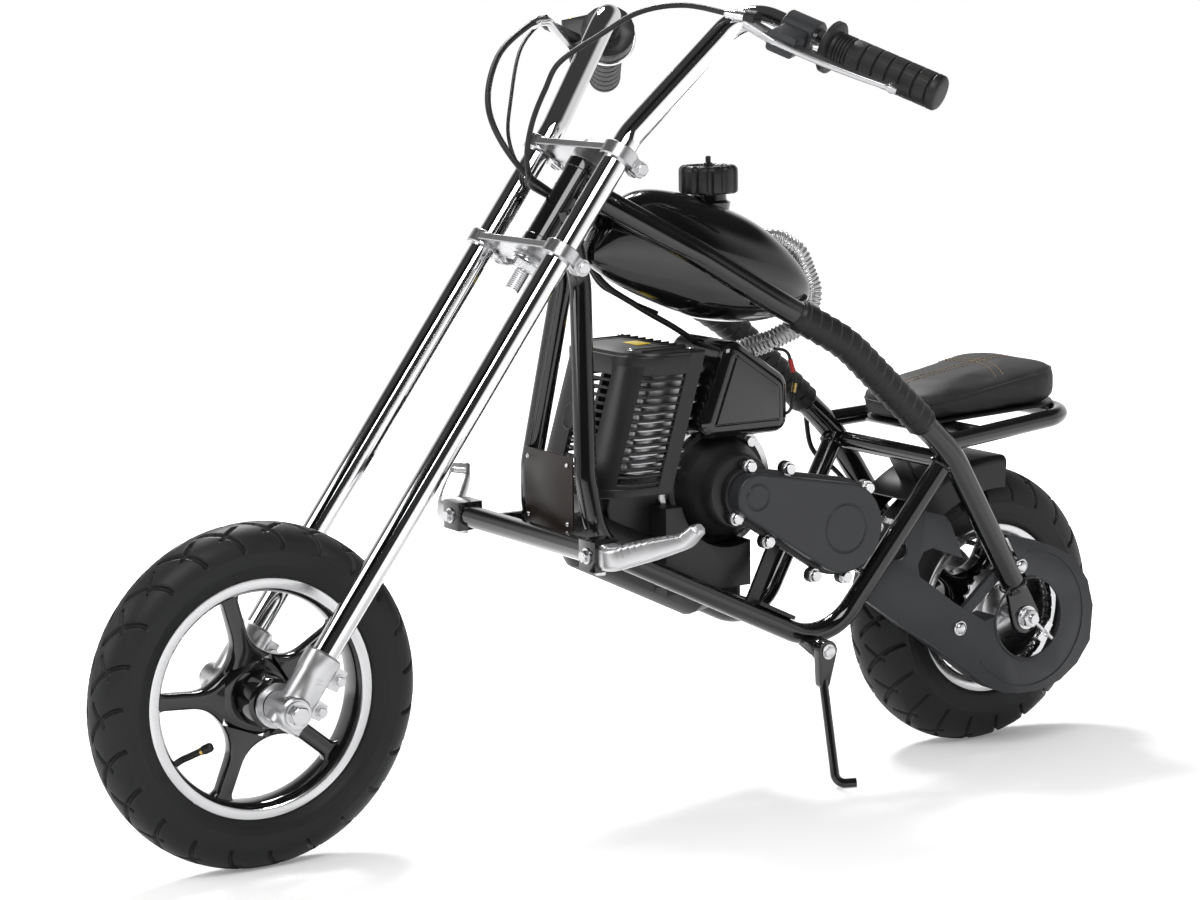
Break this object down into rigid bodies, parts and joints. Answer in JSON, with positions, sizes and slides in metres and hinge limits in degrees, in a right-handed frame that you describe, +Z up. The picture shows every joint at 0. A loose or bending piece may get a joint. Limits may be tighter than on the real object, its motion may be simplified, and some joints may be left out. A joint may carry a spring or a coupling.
{
  "type": "mini chopper motorcycle",
  "caption": "Mini chopper motorcycle with a raked fork, high bars, a teardrop tank and an open two-stroke engine, leaning on its side stand.",
  "frame": {"origin": "on the floor below the middle of the bike's overall box, leaning on its stand", "axes": "+X to the front wheel, +Y to the rider's left, where the stand is, +Z up"},
  "size_m": [1.128, 0.589, 0.7809],
  "materials": {
    "black_plastic": "fine-grained black plastic",
    "black_vinyl": "grained black vinyl with stitching",
    "cast_alloy": "cast and tumbled aluminium",
    "chrome": "polished chrome plate",
    "dark_grey_plastic": "matt dark grey plastic",
    "dark_plate": "dark brown plate",
    "gloss_black_paint": "gloss black enamel",
    "rubber": "matt black rubber",
    "satin_black_metal": "satin black",
    "tyre_rubber": "black tyre rubber",
    "wrapped_tape": "spiral black tape",
    "zinc_plated_steel": "zinc plated steel"
  },
  "bodies": {
    "frame": {"head_tube": "gloss_black_paint", "main_tube_left": "gloss_black_paint", "cradle_tube_left": "gloss_black_paint", "tube_wrap_left": "wrapped_tape", "foot_peg_left": "cast_alloy", "main_tube_right": "gloss_black_paint", "cradle_tube_right": "gloss_black_paint", "tube_wrap_right": "wrapped_tape", "foot_peg_right": "cast_alloy", "peg_bar": "gloss_black_paint", "front_plate": "dark_plate", "seat_loop": "gloss_black_paint", "cross_tube": "gloss_black_paint", "rear_axle": "zinc_plated_steel", "fuel_tank": "gloss_black_paint", "tank_hose": "zinc_plated_steel", "tank_cap": "black_plastic", "seat_pan": "black_plastic", "seat": "black_vinyl", "rear_fender": "black_plastic", "crankcase": "satin_black_metal", "cylinder": "cast_alloy", "engine_cowl": "black_plastic", "air_box": "gloss_black_paint", "clutch_housing": "satin_black_metal", "recoil_starter": "black_plastic", "gear_plate": "satin_black_metal", "gearbox": "dark_grey_plastic", "muffler": "satin_black_metal", "engine_mount": "satin_black_metal", "engine_cable": "rubber", "rear_brake_cable": "rubber", "chain": "zinc_plated_steel", "chain_cover": "dark_grey_plastic", "brake_caliper": "satin_black_metal", "stand_bracket": "gloss_black_paint"},
    "steering": {"fork_bar_left": "chrome", "axle_lug_left": "cast_alloy", "grip_left": "rubber", "fork_bar_right": "chrome", "axle_lug_right": "cast_alloy", "grip_right": "rubber", "brake_lever": "cast_alloy", "throttle_housing": "black_plastic", "lower_clamp": "cast_alloy", "upper_clamp": "cast_alloy", "front_axle": "zinc_plated_steel", "brake_cable": "rubber", "throttle_cable": "rubber", "switch_wire": "rubber"},
    "front_wheel_set": {"front_tyre": "tyre_rubber", "front_wheel": "gloss_black_paint"},
    "rear_wheel_set": {"rear_tyre": "tyre_rubber", "rear_wheel": "gloss_black_paint", "rear_sprocket": "zinc_plated_steel", "brake_disc": "zinc_plated_steel"},
    "stand": {"side_stand": "gloss_black_paint"}
  },
  "joints": [
    {"name": "steering", "type": "hinge", "parent": "frame", "child": "steering", "pos_m": [0.10282, -0.01377, 0.53913], "axis": [-0.5931, 0.0702, 0.802], "range_deg": [-35, 35]},
    {"name": "front_wheel_spin", "type": "hinge", "parent": "steering", "child": "front_wheel_set", "pos_m": [0.40405, -0.04699, 0.15935], "axis": [0, 0.9962, -0.0872], "continuous": true},
    {"name": "rear_wheel_spin", "type": "hinge", "parent": "frame", "child": "rear_wheel_set", "pos_m": [-0.41935, -0.04832, 0.14415], "axis": [0, 0.9962, -0.0872], "continuous": true},
    {"name": "side_stand", "type": "hinge", "parent": "frame", "child": "stand", "pos_m": [-0.16735, 0.04167, 0.13442], "axis": [0, 0.9962, -0.0872], "range_deg": [0, 80]}
  ]
}
